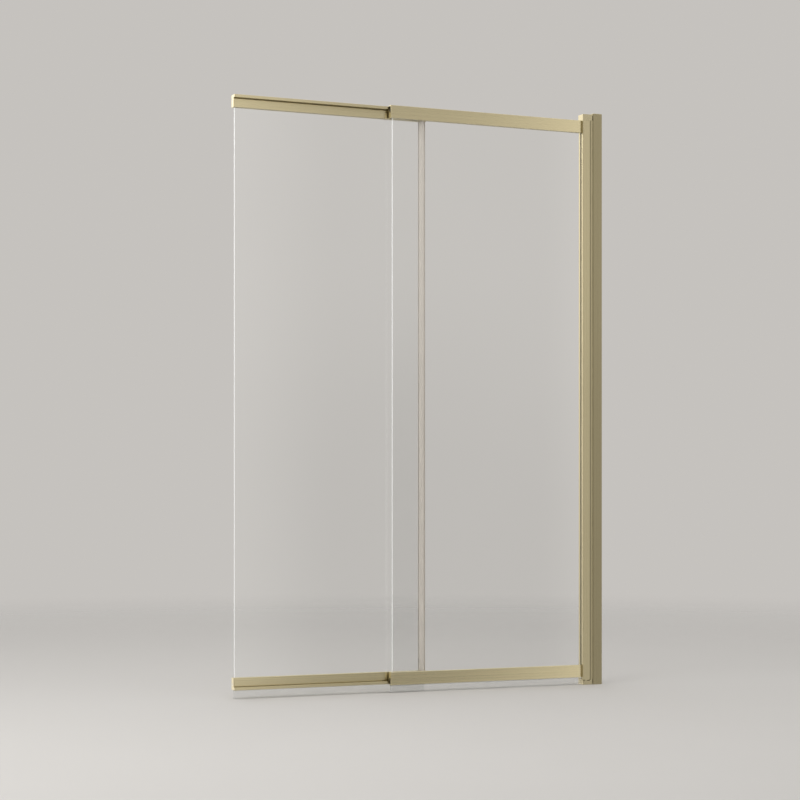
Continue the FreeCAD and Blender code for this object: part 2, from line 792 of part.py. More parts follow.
def make_slide_cap(side, end):
    """End cap of a sliding rail; the trailing one leaves the groove open for the guide tongue."""
    cap = make_body(f"{end}ing_{side}_cap")
    groove = [("slide_face + groove_depth", "groove_inner"), ("slide_face + groove_depth", "groove_outer")]
    throat = [("slide_face", "groove_inner")] + groove if end == "trail" else [("slide_face", "groove_outer")]
    plate = (
        [("slide_face", "0", "rail_edge")]
        + throat
        + [
            ("head_front", "groove_outer", "rail_edge"),
            ("head_front", "head_outer", "rail_edge"),
            ("slide_rear", "head_outer", "rail_edge"),
            ("slide_rear", "0", "rail_edge"),
        ]
    )
    hole = ("slide_pane", level(side, "port_level"), "cap_screw_radius + hole_clearance")
    sink = ("slide_pane", level(side, "port_level"), "cap_screw_head_radius + hole_clearance")
    depth = "cap_screw_head + hole_clearance"
    if end == "lead":
        add(cap, "YZ_Plane", [across(side, plate), hole], "slide_lead_end", "slide_rail_lead")
        cut(cap, "YZ_Plane", [sink], "slide_lead_end", f"slide_lead_end + {depth}")
    else:
        add(cap, "YZ_Plane", [across(side, plate), hole], "slide_rail_trail", "slide_trail_end")
        cut(cap, "YZ_Plane", [sink], f"slide_trail_end - ({depth})", "slide_trail_end")


def make_cap_screws():
    group = make_body("cap_screws")
    centres = [("slide_pane", level(side, "port_level")) for side in SIDES]
    socket = "cap_screw_head * socket_depth_share"
    lead = "slide_lead_end + hole_clearance"
    lead_seat = f"{lead} + cap_screw_head"
    add_screws(
        group,
        "YZ_Plane",
        centres,
        ("cap_screw_radius", lead_seat, f"{lead_seat} + cap_screw_length"),
        ("cap_screw_head_radius", lead, lead_seat),
        (lead, f"{lead} + {socket}"),
    )
    trail = "slide_trail_end - hole_clearance"
    trail_seat = f"{trail} - cap_screw_head"
    add_screws(
        group,
        "YZ_Plane",
        centres,
        ("cap_screw_radius", f"{trail_seat} - cap_screw_length", trail_seat),
        ("cap_screw_head_radius", trail_seat, trail),
        (f"{trail} - {socket}", trail),
    )


def make_overlap_seal():
    """Clip on the sliding pane's trailing edge, with a fin that leans toward the fixed pane."""
    left = "slide_trail_end - overlap_seal_width"
    glass_front = "slide_pane - half_glass"
    glass_rear = "slide_pane + half_glass"
    front = f"{glass_front} - overlap_seal_wall"
    rear = f"{glass_rear} + overlap_seal_wall"
    root = "slide_trail_end - overlap_seal_width / 2"
    tip = "half_glass + overlap_fin_gap"
    section = [
        (left, front),
        (root, front),
        (f"{root} + overlap_fin_lean", tip),
        (f"{root} + overlap_fin_lean + overlap_fin", tip),
        (f"{root} + overlap_fin", front),
        ("slide_trail_end", front),
        ("slide_trail_end", rear),
        (left, rear),
        (left, glass_rear),
        ("slide_glass_trail", glass_rear),
        ("slide_glass_trail", glass_front),
        (left, glass_front),
    ]
    low = "bottom_rail_top + seal_end_gap"
    high = "top_rail_bottom - seal_end_gap"
    add(make_body("overlap_seal"), "XY_Plane", [section], low, high)


def make_carriage(side, end):
    """Plate on the head of the sliding rail that carries one wheel."""
    carriage = make_body(f"{side}_{end}_carriage")
    station = f"{end}_wheel_station"
    low, high = span(side, "carriage_inner", "carriage_outer")
    left = f"{station} - carriage_length / 2"
    right = f"{station} + carriage_length / 2"
    plate = rectangle(left, low, right, high, "carriage_corner")
    axle_hole = wheel_centres()[side, end] + ("axle_radius + pin_fit",)
    screw_holes = [
        (x, z, "carriage_screw_radius + hole_clearance") for x, z in carriage_screw_centres(side, end)
    ]
    add(carriage, "XZ_Plane", [plate, axle_hole] + screw_holes, "carriage_front", "head_front")


def make_carriage_fasteners():
    centres = [spot for side in SIDES for end in ENDS for spot in carriage_screw_centres(side, end)]
    head_end = "carriage_front - carriage_screw_head"
    add_screws(
        make_body("carriage_screws"),
        "XZ_Plane",
        centres,
        ("carriage_screw_radius", "carriage_front", "head_front + carriage_screw_grip"),
        ("carriage_screw_head_radius", head_end, "carriage_front"),
        (head_end, f"{head_end} + carriage_screw_head * socket_depth_share"),
    )
    axles = make_body("wheel_axles")
    spots = wheel_centres().values()
    add(axles, "XZ_Plane", [(x, z, "axle_radius") for x, z in spots], "axle_end", "head_front")
    add(axles, "XZ_Plane", [(x, z, "axle_head_radius") for x, z in spots], "axle_end", "axle_head_rear")


def make_wheel(side, end):
    wheel = make_body(f"{side}_{end}_wheel")
    x, z = wheel_centres()[side, end]
    loops = [(x, z, "wheel_radius"), (x, z, "axle_radius + axle_clearance")]
    add(wheel, "XZ_Plane", loops, "wheel_front", "wheel_rear")
    on_faces = on_planes("Y", "wheel_front", "wheel_rear")
    across_bore = 2 * number("axle_radius + axle_clearance")
    finish_edges(
        wheel,
        "Fillet",
        "Radius",
        "wheel_edge",
        lambda edge: on_faces(edge) and edge.BoundBox.XLength > across_bore + number("wheel_edge"),
    )


make_wall_channel()
make_stile()
make_stile_blocks()
make_clamp_screws()
make_pane("fixed_glass", "fixed_glass_end", "fixed_glass_root", "0")
make_stile_gasket()
for rail_side in SIDES:
    make_fixed_rail(rail_side)
    make_rail_gasket(f"fixed_{rail_side}_gasket", rail_side, "0", "fixed_glass_end", "stile_face")
    make_fixed_end_cap(rail_side)
    make_rail_connector(rail_side)
make_connector_fasteners()
make_travel_ends()
make_bottom_seal("fixed_bottom_seal", "0", "rim_gap", "fixed_rail_end", "stile_face")
make_pane("slide_glass", "slide_glass_lead", "slide_glass_trail", "slide_pane")
for rail_side in SIDES:
    make_slide_rail(rail_side)
    make_rail_gasket(
        f"slide_{rail_side}_gasket", rail_side, "slide_pane", "slide_rail_lead", "slide_rail_trail"
    )
    for rail_end in ENDS:
        make_slide_cap(rail_side, rail_end)
        make_carriage(rail_side, rail_end)
        make_wheel(rail_side, rail_end)
make_cap_screws()
make_overlap_seal()
make_bottom_seal(
    "slide_bottom_seal", "slide_pane", level("bottom", "head_outer"), "slide_rail_lead", "slide_rail_trail"
)
make_carriage_fasteners()

doc.recompute()
for item in doc.Objects:
    if "Invalid" in item.State or "Error" in item.State:
        raise RuntimeError(f"{item.Label} did not build")
for label, item in nodes.items():
    if item.Shape.isNull() or not item.Shape.isValid():
        raise RuntimeError(f"{label} has no valid shape")
os.makedirs("parts", exist_ok=True)
for label, item in nodes.items():
    item.Shape.exportStep(f"parts/{label}.step")
print(len(nodes), "sub-parts written")
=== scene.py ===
import math

import bmesh
import bpy
from bpy.props import FloatProperty, FloatVectorProperty, IntProperty, PointerProperty
from mathutils import Matrix, Vector


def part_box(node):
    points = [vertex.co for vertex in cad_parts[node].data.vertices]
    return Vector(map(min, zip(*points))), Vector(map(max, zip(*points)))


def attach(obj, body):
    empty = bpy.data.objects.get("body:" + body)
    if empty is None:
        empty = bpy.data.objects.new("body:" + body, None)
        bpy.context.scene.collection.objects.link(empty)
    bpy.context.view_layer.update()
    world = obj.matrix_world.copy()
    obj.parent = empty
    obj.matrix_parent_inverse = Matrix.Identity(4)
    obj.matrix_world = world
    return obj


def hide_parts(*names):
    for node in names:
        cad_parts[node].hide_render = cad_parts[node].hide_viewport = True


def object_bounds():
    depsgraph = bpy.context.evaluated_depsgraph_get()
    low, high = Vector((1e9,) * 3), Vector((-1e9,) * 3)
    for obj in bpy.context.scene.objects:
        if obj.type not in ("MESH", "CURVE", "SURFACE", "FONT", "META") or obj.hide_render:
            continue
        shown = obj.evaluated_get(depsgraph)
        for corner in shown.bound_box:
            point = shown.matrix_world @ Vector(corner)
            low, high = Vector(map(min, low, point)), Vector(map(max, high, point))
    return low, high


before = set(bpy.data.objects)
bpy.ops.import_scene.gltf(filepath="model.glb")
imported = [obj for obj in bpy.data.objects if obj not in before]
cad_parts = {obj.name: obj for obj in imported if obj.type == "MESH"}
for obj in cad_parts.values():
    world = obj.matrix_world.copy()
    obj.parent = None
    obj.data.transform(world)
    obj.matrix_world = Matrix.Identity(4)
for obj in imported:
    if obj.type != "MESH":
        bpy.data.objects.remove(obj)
CAD_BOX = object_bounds()

bl_info = {
    "name": "Sliding Bath Screen",
    "version": (1, 0, 0),
    "blender": (4, 5, 0),
    "location": "View3D > Sidebar > Bath Screen",
    "description": "Dresses a sliding bath screen in brushed brass, clear glass and soft seals",
    "category": "Object",
}

# X = 0 is the back of the wall channel, the free end is toward -X, and +Y is the sliding pane's side.
X, Y, Z = 0, 1, 2
WALL_SIDE = "wall_side"
SLIDING_PANEL = "sliding_panel"
PANELS = {"fixed": WALL_SIDE, "slide": SLIDING_PANEL}
SIDES = ("top", "bottom")
ENDS = ("lead", "trail")
FIXINGS = (
    "adjustment_screws",
    "connector_bolts",
    "rail_grub_screws",
    "cap_screws",
    "carriage_screws",
    "wheel_axles",
)

# Sockets of a colour Mix node
MIX_FACTOR, MIX_A, MIX_B, MIX_RESULT = 0, 6, 7, 2

# Noise seldom leaves this range
NOISE_LOW, NOISE_HIGH = 0.3, 0.7

# Layers of finer noise in a grain
GRAIN_DETAIL = 4

# Parts of the backdrop that glow in mirrored light: one behind the free end and one overhead.
# Each has the direction to its middle, the angles where its glow starts and is full, and its share.
GLOW_ZONES = (
    ((-0.53, 0.63, 0.57), math.radians(50), math.radians(22), 0.75),
    ((0, 0.1, 1), math.radians(60), math.radians(25), 0.33),
)

# Upright bands given in the same way: three in front, from right to left, and one behind the free end
SHINE_BANDS = (
    ((0.559, -0.829, 0), math.radians(7), math.radians(3), 0.44),
    ((0.225, -0.974, 0), math.radians(8.5), math.radians(3.5), 0.33),
    ((-0.174, -0.985, 0), math.radians(30), math.radians(20), 0.13),
    ((-0.309, 0.951, 0), math.radians(7), math.radians(3), 0.45),
)

# Zones of a dim part given in the same way, which stand above each other, low in front
DIM_ZONES = (
    ((0.38, -0.914, -0.139), math.radians(15), math.radians(7), 1),
    ((0.361, -0.868, -0.342), math.radians(15), math.radians(7), 1),
    ((0.326, -0.783, -0.53), math.radians(15), math.radians(7), 1),
)

# Place of each lamp, and its width and height
LEFT_LAMP = (-3.0, -1.0, 1.6), (2.0, 1.8)
TOP_LAMP = (-0.5, -0.7, 3.2), (2.6, 2.0)
FRONT_LAMP = (-3.4, -3.6, 2.2), (2.0, 2.0)

# Faces that meet below the first angle are one flat, and edges above the second are sharp
FLAT_ANGLE, SHARP_ANGLE = math.radians(1), math.radians(40)

# Two directions are alike when the cosine between them is above this
ALIKE = 0.99

# Vertices nearer than this are one
MERGE_DISTANCE = 1e-6

# Brush lines in the brass, in cells per metre along and across them
BRUSH_ALONG, BRUSH_ACROSS = 1.2, 2600

# How far brush lines stretch a reflection across them
BRUSH_STRETCH = 0.95

# Slow drift of the brass's tone: cells per metre, and its darkest and lightest share
DRIFT_PITCH = 2
DRIFT_SHADES = (0.97, 1)

# Painted shade along the stile's seam: the share of the brass colour left there, standing in for the shadow
# in the groove
SEAM_SHADE_SHARE = 0.62

# Overlap seal's fin, as shares of its lean and of its reach
FIN_CURVE = ((0, 0), (0.18, 0.36), (0.52, 0.72), (1, 1))

# Middle point of a rounded tread, inward from both faces, as a share of its radius
TREAD_MIDDLE = 0.3

# Facets of a screw cover's dome from its side to its top, and sides of the round floor
DOME_STEPS = 6
FLOOR_SIDES = 96

# Nearest distance between two solids of one node that stand above each other
SOLID_GAP = 0.1


def colour_property(name, description, default):
    """Colour that a user may change."""
    return FloatVectorProperty(
        name=name, description=description, default=default, size=3, min=0, max=1, subtype="COLOR"
    )


def length_property(name, description, default):
    """Length in metres that a user may change."""
    return FloatProperty(
        name=name,
        description=description,
        default=default,
        min=0,
        precision=5,
        subtype="DISTANCE",
        unit="LENGTH",
    )


def level_property(name, description, default):
    """Strength of a light that a user may change."""
    return FloatProperty(name=name, description=description, default=default, min=0)


class ScreenFinish(bpy.types.PropertyGroup):
    """Colours of the screen's finishes."""

    brass: colour_property("Brass", "Brushed extrusions of the rails", (0.682, 0.605, 0.39))
    stile_brass_and_seam_shade: colour_property("Stile brass", "Brushed extrusion of the stile", (0.51, 0.452, 0.29))
    # Painted shade: a darker copy of the rail brass, standing in for the shade near the wall
    channel_brass_painted_shade: colour_property("Channel brass", "Brushed extrusion of the channel", (0.33, 0.29, 0.181))
    coat: colour_property("Cap coat", "Satin coat on the rails' caps", (0.64, 0.57, 0.37))
    block_coat: colour_property("Block coat", "Satin coat on the stile's blocks", (0.44, 0.39, 0.255))
    aluminium: colour_property("Aluminium", "Milled blocks inside the rails", (0.72, 0.72, 0.72))
    glass: colour_property("Glass", "Tint of the panes", (0.993, 0.995, 0.992))
    glass_edge: colour_property("Glass edge", "Polished edges of the panes", (0.95, 0.965, 0.95))
    clear_seal: colour_property("Rim seal", "Clear strips under the rails", (0.95, 0.955, 0.95))
    warm_seal: colour_property("Overlap seal", "Milky strip between the panes", (0.785, 0.732, 0.66))
    # Painted light: the rail gaskets are made pale to lift the shade under the rails
    rail_gasket_painted_light: colour_property("Rail gasket", "Strips between glass and rails", (0.86, 0.8, 0.64))
    # Painted shade: a darker copy of the glazing rubber, standing in for the shadow in the stile's pocket
    stile_gasket: colour_property("Stile gasket", "Strip between glass and stile", (0.28, 0.25, 0.175))
    rubber: colour_property("Rubber", "Buffers that end the travel", (0.03, 0.03, 0.03))
    plastic: colour_property("Black plastic", "Carriages and stops", (0.04, 0.04, 0.04))
    nylon: colour_property("Nylon", "Rollers", (0.80, 0.80, 0.77))
    steel: colour_property("Steel", "Screws, bolts and axles", (0.66, 0.66, 0.66))


class ScreenShape(bpy.types.PropertyGroup):
    """Sizes of the pieces that are modelled here."""

    seam_station: length_property("Seam station", "Back of the channel to the stile's seam", 0.0284)
    seam_width: length_property("Seam width", "Width of the seam in the stile's face", 0.0041)
    cap_round: length_property("Cap round", "Radius on the edges of caps and blocks", 0.0003)
    gear_round: length_property("Gear round", "Radius on the edges of the pieces inside the rails", 0.0002)
    pane_corner: length_property("Pane corner", "Radius of a pane's corners", 0.0015)
    pane_arris: length_property("Pane arris", "Width of the eased edge of a pane", 0.0005)
    soft_gap: length_property("Soft clearance", "Between a soft strip and what it grips", 0.0001)
    gasket_round: length_property("Gasket round", "Radius on a gasket's edges", 0.0004)
    seal_round: length_property("Seal round", "Radius on a seal's edges", 0.00025)
    seal_base: length_property("Rim seal base", "Thickness of a rim seal's foot strip", 0.0015)
    seal_fin: length_property("Rim seal fin", "Thickness of a rim seal's fin at its root", 0.0016)
    fin_tip: length_property("Fin tip", "Thickness of a fin at its tip", 0.0008)
    clip_wall: length_property("Clip wall", "Wall of the overlap seal's clip", 0.0012)
    clip_slope: length_property("Clip slope", "Sloped corner of the overlap seal's clip", 0.0014)
    fin_inset: length_property("Fin inset", "Clip's open side to the overlap seal's fin", 0.0008)
    overlap_fin: length_property("Overlap fin", "Thickness of the overlap seal's fin at its root", 0.0014)
    overlap_lean: length_property("Overlap lean", "How far the overlap seal's fin leans", 0.0065)
    roller_bore: length_property("Roller bore", "Radius of a roller's bore", 0.00155)
    roller_hub: length_property("Roller hub", "Radius of a roller's hub", 0.0028)
    roller_rim: length_property("Roller rim", "Thickness of a roller's rim", 0.0015)
    roller_recess: length_property("Roller recess", "Depth of the ring between hub and rim", 0.0007)
    roller_round: length_property("Roller round", "Radius on a roller's tread", 0.0008)
    cover_skirt: length_property("Cover skirt", "Straight side of a screw cover", 0.0018)
    cover_lip: length_property("Cover lip", "Inner radius of a screw cover", 0.0037)
    buffer_round: length_property("Buffer round", "Radius on a buffer's edges", 0.0012)
    buffer_dimple: length_property("Buffer dimple", "Depth of the hollow in a buffer's face", 0.0008)
    spin_steps: IntProperty(name="Spin steps", description="Facets of a turned piece", default=64, min=12)
    round_steps: IntProperty(name="Round steps", description="Facets of a rounded edge", default=3, min=1)


class ScreenStage(bpy.types.PropertyGroup):
    """Floor, light and camera."""

    backdrop: colour_property("Backdrop", "Background that the camera sees", (0.56, 0.54, 0.515))
    dim_backdrop: colour_property("Dim backdrop", "Mirrored from low in front", (0.04, 0.039, 0.037))
    glow: colour_property("Glow", "Mirrored from the glowing parts and the bands", (1, 0.97, 0.92))
    glow_level: level_property("Glow level", "Brightness of the glow", 2.8)
    ambient: level_property("Ambient", "Even light from all round", 0.55)
    floor: colour_property("Floor", "Plain pale floor", (0.66, 0.64, 0.613))
    floor_radius: length_property("Floor radius", "Edge of the floor", 6.0)
    fade_start: length_property("Fade start", "Where the floor begins to fade", 1.2)
    fade_end: length_property("Fade end", "Where the floor has faded into the backdrop", 4.5)
    floor_drop: length_property("Floor drop", "Floor below the foot of the screen", 0.0002)
    left_lamp: level_property("Left lamp", "Power of the lamp at the free end", 26)
    top_lamp: level_property("Top lamp", "Power of the lamp overhead", 22)
    front_lamp: level_property("Front lamp", "Power of the lamp in front", 9)
    camera_place: FloatVectorProperty(
        name="Camera",
        description="Where the camera stands",
        default=(-2.3646, -4.2946, 0.484),
        unit="LENGTH",
    )
    camera_turn: FloatProperty(
        name="Camera turn",
        description="Turn of the camera from +Y",
        default=math.radians(-23.1),
        subtype="ANGLE",
    )
    camera_lens: FloatProperty(name="Lens", description="Focal length in millimetres", default=89.1, min=1)
    camera_rise: FloatProperty(name="Rise", description="Upward shift of the picture", default=0.10875)


# Materials


def grain(tree, pitch):
    """Noise on the piece's own coordinates, with a pitch for each axis in cells per metre."""
    place = tree.nodes.new("ShaderNodeTexCoord")
    mapping = tree.nodes.new("ShaderNodeMapping")
    mapping.inputs["Scale"].default_value = pitch
    noise = tree.nodes.new("ShaderNodeTexNoise")
    noise.inputs["Scale"].default_value = 1
    noise.inputs["Detail"].default_value = GRAIN_DETAIL
    tree.links.new(place.outputs["Object"], mapping.inputs["Vector"])
    tree.links.new(mapping.outputs["Vector"], noise.inputs["Vector"])
    return noise.outputs["Fac"]


def spread(tree, source, low, high):
    """Noise stretched to a range of values."""
    ranged = tree.nodes.new("ShaderNodeMapRange")
    ranged.inputs["From Min"].default_value = NOISE_LOW
    ranged.inputs["From Max"].default_value = NOISE_HIGH
    ranged.inputs["To Min"].default_value = low
    ranged.inputs["To Max"].default_value = high
    tree.links.new(source, ranged.inputs["Value"])
    return ranged.outputs["Result"]


def tones(tree, source, colour, dark, light):
    """Colour that runs from a darker to a lighter shade of itself."""
    mix = tree.nodes.new("ShaderNodeMix")
    mix.data_type = "RGBA"
    for socket, share in ((MIX_A, dark), (MIX_B, light)):
        mix.inputs[socket].default_value = [min(1, part * share) for part in colour] + [1]
    tree.links.new(spread(tree, source, 0, 1), mix.inputs[MIX_FACTOR])
    return mix.outputs[MIX_RESULT]


def band(tree, axis, low, high):
    """One between two values of a coordinate, and zero elsewhere."""
    place = tree.nodes.new("ShaderNodeTexCoord")
    parts = tree.nodes.new("ShaderNodeSeparateXYZ")
    inside = tree.nodes.new("ShaderNodeMath")
    inside.operation = "COMPARE"
    inside.inputs[1].default_value = (low + high) / 2
    inside.inputs[2].default_value = (high - low) / 2
    tree.links.new(place.outputs["Object"], parts.inputs["Vector"])
    tree.links.new(parts.outputs[axis], inside.inputs[0])
    return inside.outputs["Value"]


def pick(tree, operation, values):
    """One of some values: the largest with MAXIMUM, the smallest with MINIMUM."""
    best = values[0]
    for value in values[1:]:
        either = tree.nodes.new("ShaderNodeMath")
        either.operation = operation
        tree.links.new(best, either.inputs[0])
        tree.links.new(value, either.inputs[1])
        best = either.outputs["Value"]
    return best


def relief(tree, source, depth):
    """Surface relief of a given depth in metres."""
    bump = tree.nodes.new("ShaderNodeBump")
    bump.inputs["Distance"].default_value = depth
    tree.links.new(source, bump.inputs["Height"])
    return bump.outputs["Normal"]


def surface(name, colour, pitch, shades, roughness, depth, sockets=None):
    """Material whose tone, gloss and relief follow one grain."""
    made = bpy.data.materials.new(name)
    made.use_nodes = True
    tree = made.node_tree
    shader = tree.nodes["Principled BSDF"]
    source = grain(tree, pitch)
    tree.links.new(tones(tree, source, colour, *shades), shader.inputs["Base Color"])
    tree.links.new(spread(tree, source, *roughness), shader.inputs["Roughness"])
    tree.links.new(relief(tree, source, depth), shader.inputs["Normal"])
    for socket, value in (sockets or {}).items():
        shader.inputs[socket].default_value = value
    return made


def brushed_brass(name, colour, axis, seam=None):
    """Anodised brass with brush lines along one axis, and a dull seam given as (axis, low, high)."""
    pitch = [BRUSH_ACROSS] * 3
    pitch[axis] = BRUSH_ALONG
    made = surface(
        name,
        colour,
        pitch,
        shades=(0.985, 1.015),
        roughness=(0.26, 0.32),
        depth=3e-6,
        sockets={"Metallic": 1, "Anisotropic": BRUSH_STRETCH},
    )
    tree = made.node_tree
    shader = tree.nodes["Principled BSDF"]
    across = tree.nodes.new("ShaderNodeTangent")
    across.direction_type = "RADIAL"
    across.axis = "XYZ"[axis]
    tree.links.new(across.outputs["Tangent"], shader.inputs["Tangent"])
    base = shader.inputs["Base Color"]
    drift = tree.nodes.new("ShaderNodeMix")
    drift.data_type = "RGBA"
    drift.blend_type = "MULTIPLY"
    drift.inputs[MIX_FACTOR].default_value = 1
    tree.links.new(base.links[0].from_socket, drift.inputs[MIX_A])
    cloud = grain(tree, (DRIFT_PITCH,) * 3)
    tree.links.new(tones(tree, cloud, (1, 1, 1), *DRIFT_SHADES), drift.inputs[MIX_B])
    brushed = drift.outputs[MIX_RESULT]
    # Painted shade: the seam's band is darkened to stand in for the shadow in the groove
    if seam:
        seam_shade = tree.nodes.new("ShaderNodeMix")
        seam_shade.data_type = "RGBA"
        seam_shade.inputs[MIX_B].default_value = [part * SEAM_SHADE_SHARE for part in colour] + [1]
        tree.links.new(band(tree, *seam), seam_shade.inputs[MIX_FACTOR])
        tree.links.new(brushed, seam_shade.inputs[MIX_A])
        brushed = seam_shade.outputs[MIX_RESULT]
    tree.links.new(brushed, base)
    return made


def brass_coat(name, colour):
    """Satin brass coat on moulded caps, with a fine even grain."""
    return surface(
        name,
        colour,
        pitch=(4000, 4000, 4000),
        shades=(0.98, 1.02),
        roughness=(0.25, 0.31),
        depth=1e-6,
        sockets={"Metallic": 1},
    )


def milled_aluminium(finish):
    """Bare aluminium with mill lines along the rail."""
    return surface(
        "milled_aluminium",
        finish.aluminium,
        pitch=(30, 700, 700),
        shades=(0.9, 1.06),
        roughness=(0.3, 0.45),
        depth=3e-5,
        sockets={"Metallic": 1},
    )


def fixing_steel(finish):
    """Zinc-bright steel with a faint mottle."""
    return surface(
        "fixing_steel",
        finish.steel,
        pitch=(500, 500, 500),
        shades=(0.92, 1.06),
        roughness=(0.22, 0.38),
        depth=2e-5,
        sockets={"Metallic": 1},
    )


def pane_glass(finish):
    """Clear pane with the slight waver of float glass."""
    return surface(
        "pane_glass",
        finish.glass,
        pitch=(3, 3, 3),
        shades=(0.99, 1),
        roughness=(0, 0.012),
        depth=2e-6,
        sockets={"Transmission Weight": 1, "IOR": 1.5},
    )


def polished_edge(finish):
    """Ground and polished edge of a pane, which gathers light."""
    return surface(
        "polished_edge",
        finish.glass_edge,
        pitch=(400, 400, 400),
        shades=(0.97, 1.03),
        roughness=(0.12, 0.25),
        depth=4e-6,
        sockets={"Transmission Weight": 0.2, "IOR": 1.5},
    )


def rim_strip_pvc(finish):
    """Soft clear strip with faint lines from its die."""
    return surface(
        "rim_strip_pvc",
        finish.clear_seal,
        pitch=(3, 300, 300),
        shades=(0.98, 1.01),
        roughness=(0.1, 0.2),
        depth=4e-6,
        sockets={"Transmission Weight": 0.9, "IOR": 1.45},
    )


def overlap_strip_pvc(finish):
    """Milky strip with a warm tint and a smooth skin."""
    return surface(
        "overlap_strip_pvc",
        finish.warm_seal,
        pitch=(60, 60, 1),
        shades=(0.98, 1.02),
        roughness=(0.3, 0.4),
        depth=1e-6,
        sockets={"IOR": 1.45},
    )


def glazing_rubber(name, colour):
    """Matt strip with a dusty bloom."""
    return surface(
        name,
        colour,
        pitch=(300, 300, 300),
        shades=(0.85, 1.2),
        roughness=(0.6, 0.8),
        depth=4e-5,
    )


def buffer_rubber(finish):
    """Black rubber with a coarse matt skin."""
    return surface(
        "buffer_rubber",
        finish.rubber,
        pitch=(900, 900, 900),
        shades=(0.8, 1.3),
        roughness=(0.65, 0.85),
        depth=6e-5,
    )


def moulded_plastic(finish):
    """Black moulding with a fine spark-eroded texture."""
    return surface(
        "moulded_plastic",
        finish.plastic,
        pitch=(1800, 1800, 1800),
        shades=(0.85, 1.2),
        roughness=(0.42, 0.58),
        depth=4e-5,
    )


def roller_nylon(finish):
    """Natural nylon, slightly waxy."""
    return surface(
        "roller_nylon",
        finish.nylon,
        pitch=(600, 600, 600),
        shades=(0.95, 1.04),
        roughness=(0.35, 0.48),
        depth=2e-5,
        sockets={"Subsurface Weight": 0.15, "Subsurface Scale": 0.001},
    )


# Modelling


def dress(nodes, material):
    """Give CAD nodes a material in place of the packed one."""
    for node in nodes:
        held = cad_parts[node].data.materials
        held.clear()
        held.append(material)


def stand(name, mesh, materials, body, nodes, smooth=True):
    """Make a piece of a finished bmesh, in place of CAD nodes and on their body."""
    data = bpy.data.meshes.new(name)
    for face in mesh.faces:
        face.smooth = smooth
    mesh.to_mesh(data)
    mesh.free()
    for material in materials:
        data.materials.append(material)
    piece = bpy.data.objects.new(name, data)
    bpy.context.scene.collection.objects.link(piece)
    if smooth:
        data.set_sharp_from_angle(angle=SHARP_ANGLE)
        piece.modifiers.new("even_shading", "WEIGHTED_NORMAL").keep_sharp = True
    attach(piece, body)
    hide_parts(*nodes)
    return piece


def box_of(spots):
    """Lowest and highest corner of a group of points."""
    return [Vector(edge(spot[axis] for spot in spots) for axis in (X, Y, Z)) for edge in (min, max)]


def stacked_boxes(node):
    """Boxes of a node's separate solids that stand above each other, from the lowest up."""
    spots = [vertex.co.copy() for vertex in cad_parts[node].data.vertices]
    spots.sort(key=lambda spot: spot.z)
    groups = [[spots[0]]]
    for before, spot in zip(spots, spots[1:]):
        if spot.z - before.z > SOLID_GAP:
            groups.append([])
        groups[-1].append(spot)
    return [box_of(group) for group in groups]


def eased_copy(node, radius, steps):
    """Copy of a CAD piece with its sharp edges rounded."""
    mesh = bmesh.new()
    mesh.from_mesh(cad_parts[node].data)
    bmesh.ops.remove_doubles(mesh, verts=mesh.verts, dist=MERGE_DISTANCE)
    bmesh.ops.dissolve_limit(mesh, angle_limit=FLAT_ANGLE, verts=mesh.verts, edges=mesh.edges)
    sharp = [edge for edge in mesh.edges if edge.calc_face_angle() > SHARP_ANGLE]
    round_edges(mesh, sharp, radius, steps)
    return mesh


def runs_along(edge, axis):
    """True for an edge parallel to an axis."""
    way = (edge.verts[1].co - edge.verts[0].co).normalized()
    return abs(way[axis]) > ALIKE


def round_edges(mesh, edges, radius, steps):
    """Round edges off."""
    bmesh.ops.bevel(
        mesh, geom=edges, offset=radius, segments=steps, profile=0.5, affect="EDGES", material=-1
    )


def strip(section, axis, start, end, radius, steps):
    """Soft strip: a section run along X, given as (y, z), or along Z, given as (x, y), with rounded edges."""
    mesh = bmesh.new()
    corners = []
    for first, second in section:
        spot = (start, first, second) if axis == X else (first, second, start)
        corners.append(mesh.verts.new(spot))
    face = mesh.faces.new(corners)
    made = bmesh.ops.extrude_face_region(mesh, geom=[face])
    far = [item for item in made["geom"] if isinstance(item, bmesh.types.BMVert)]
    way = Vector((0, 0, 0))
    way[axis] = end - start
    bmesh.ops.translate(mesh, verts=far, vec=way)
    round_edges(mesh, [edge for edge in mesh.edges if runs_along(edge, axis)], radius, steps)
    bmesh.ops.recalc_face_normals(mesh, faces=mesh.faces)
    return mesh


def turned(mesh, profile, centre, steps):
    """Spin a profile of (radius, y), closed on itself or ended on the axis, about Y through a centre."""
    spots = [mesh.verts.new((centre.x + radius, y, centre.z)) for radius, y in profile]
    edges = [mesh.edges.new(pair) for pair in zip(spots, spots[1:])]
    if profile[0][0] > 0:
        edges.append(mesh.edges.new((spots[-1], spots[0])))
    bmesh.ops.spin(
        mesh,
        geom=spots + edges,
        cent=centre,
        axis=(0, 1, 0),
        angle=math.tau,
        steps=steps,
        use_merge=True,
    )


def close_mesh(mesh):
    """Merge what a spin leaves double and turn the faces outward."""
    bmesh.ops.remove_doubles(mesh, verts=mesh.verts, dist=MERGE_DISTANCE)
    bmesh.ops.recalc_face_normals(mesh, faces=mesh.faces)


